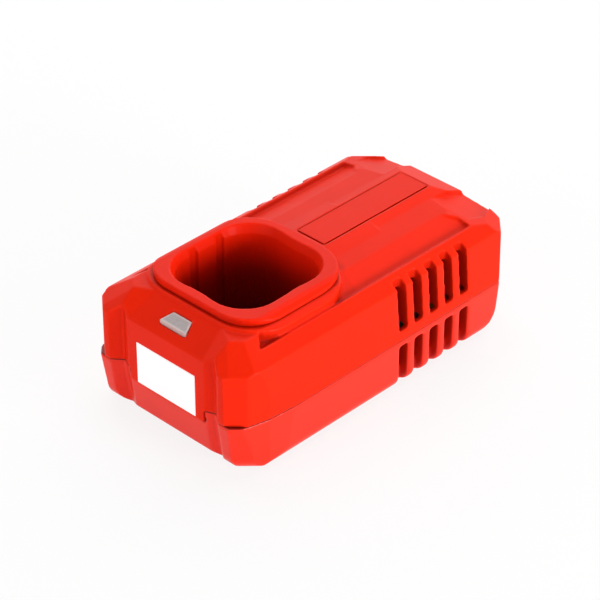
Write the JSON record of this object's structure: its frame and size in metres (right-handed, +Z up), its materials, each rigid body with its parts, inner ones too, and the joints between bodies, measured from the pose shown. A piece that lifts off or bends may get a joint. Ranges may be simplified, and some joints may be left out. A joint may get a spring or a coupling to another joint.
{
  "type": "power tool battery charger",
  "caption": "Desktop charger for a hand tool's plug-in battery pack, with a deep moulded well, a label panel, an indicator lens, side vents and a mains inlet.",
  "frame": {"origin": "centre of the bounding box's base, between the four feet, on the surface that the charger stands on", "axes": "+Z up; -Y is the front with the label and the indicator lens; +Y runs along the case to the mains inlet at the rear; +X is the side seen on the right in the picture"},
  "size_m": [0.0656, 0.1196, 0.0447],
  "materials": {
    "case_red": "satin moulded plastic with a very fine grain",
    "label_white": "plain printed film, nothing on it",
    "clear_lens": "clear moulded plastic, polished",
    "foot_rubber": "matte",
    "screw_steel": "zinc plated",
    "board_green": "solder resist over glass fibre",
    "black_moulding": "satin",
    "contact_metal": "plated, satin",
    "light_red": "unlit",
    "light_green": "unlit",
    "black_resin": "moulded epoxy",
    "pin_nickel": "nickel plated",
    "blue_resin": "dipped coating",
    "yellow_box": "moulded box",
    "ferrite": "fired ceramic",
    "copper_wire": "enamelled copper",
    "capacitor_sleeve": "shrunk sleeve",
    "heatsink_aluminium": "plain sheet",
    "yellow_tape": "wound tape",
    "white_package": "moulded epoxy"
  },
  "bodies": {
    "root": {"upper_shell": "case_red", "lower_shell": "case_red", "battery_well": "case_red", "name_plate": "case_red", "front_label": "label_white", "light_pipe": "clear_lens", "foot_front_left": "foot_rubber", "foot_front_right": "foot_rubber", "foot_rear_left": "foot_rubber", "foot_rear_right": "foot_rubber", "case_screw_1": "screw_steel", "case_screw_2": "screw_steel", "case_screw_3": "screw_steel", "case_screw_4": "screw_steel", "circuit_board": "board_green", "board_screws": "screw_steel", "terminal_holder": "black_moulding", "contact_positive": "contact_metal", "contact_sense": "contact_metal", "contact_negative": "contact_metal", "charge_light_red": "light_red", "charge_light_green": "light_green", "front_resistors": "black_resin", "control_chip": "black_resin", "mains_inlet": "black_moulding", "inlet_pin_left": "pin_nickel", "inlet_pin_right": "pin_nickel", "fuse": "black_resin", "varistor": "blue_resin", "x_capacitor": "yellow_box", "choke_core": "ferrite", "choke_windings": "copper_wire", "bridge_rectifier": "black_resin", "bulk_capacitor": "capacitor_sleeve", "switching_transistor": "black_resin", "primary_heatsink": "heatsink_aluminium", "primary_heatsink_screw": "screw_steel", "transformer_core": "ferrite", "transformer_bobbin": "black_moulding", "transformer_tape": "yellow_tape", "y_capacitor": "blue_resin", "optocoupler": "white_package", "output_diode": "black_resin", "output_heatsink": "heatsink_aluminium", "output_heatsink_screw": "screw_steel", "output_capacitor_1": "capacitor_sleeve", "output_capacitor_2": "capacitor_sleeve"}
  },
  "joints": []
}
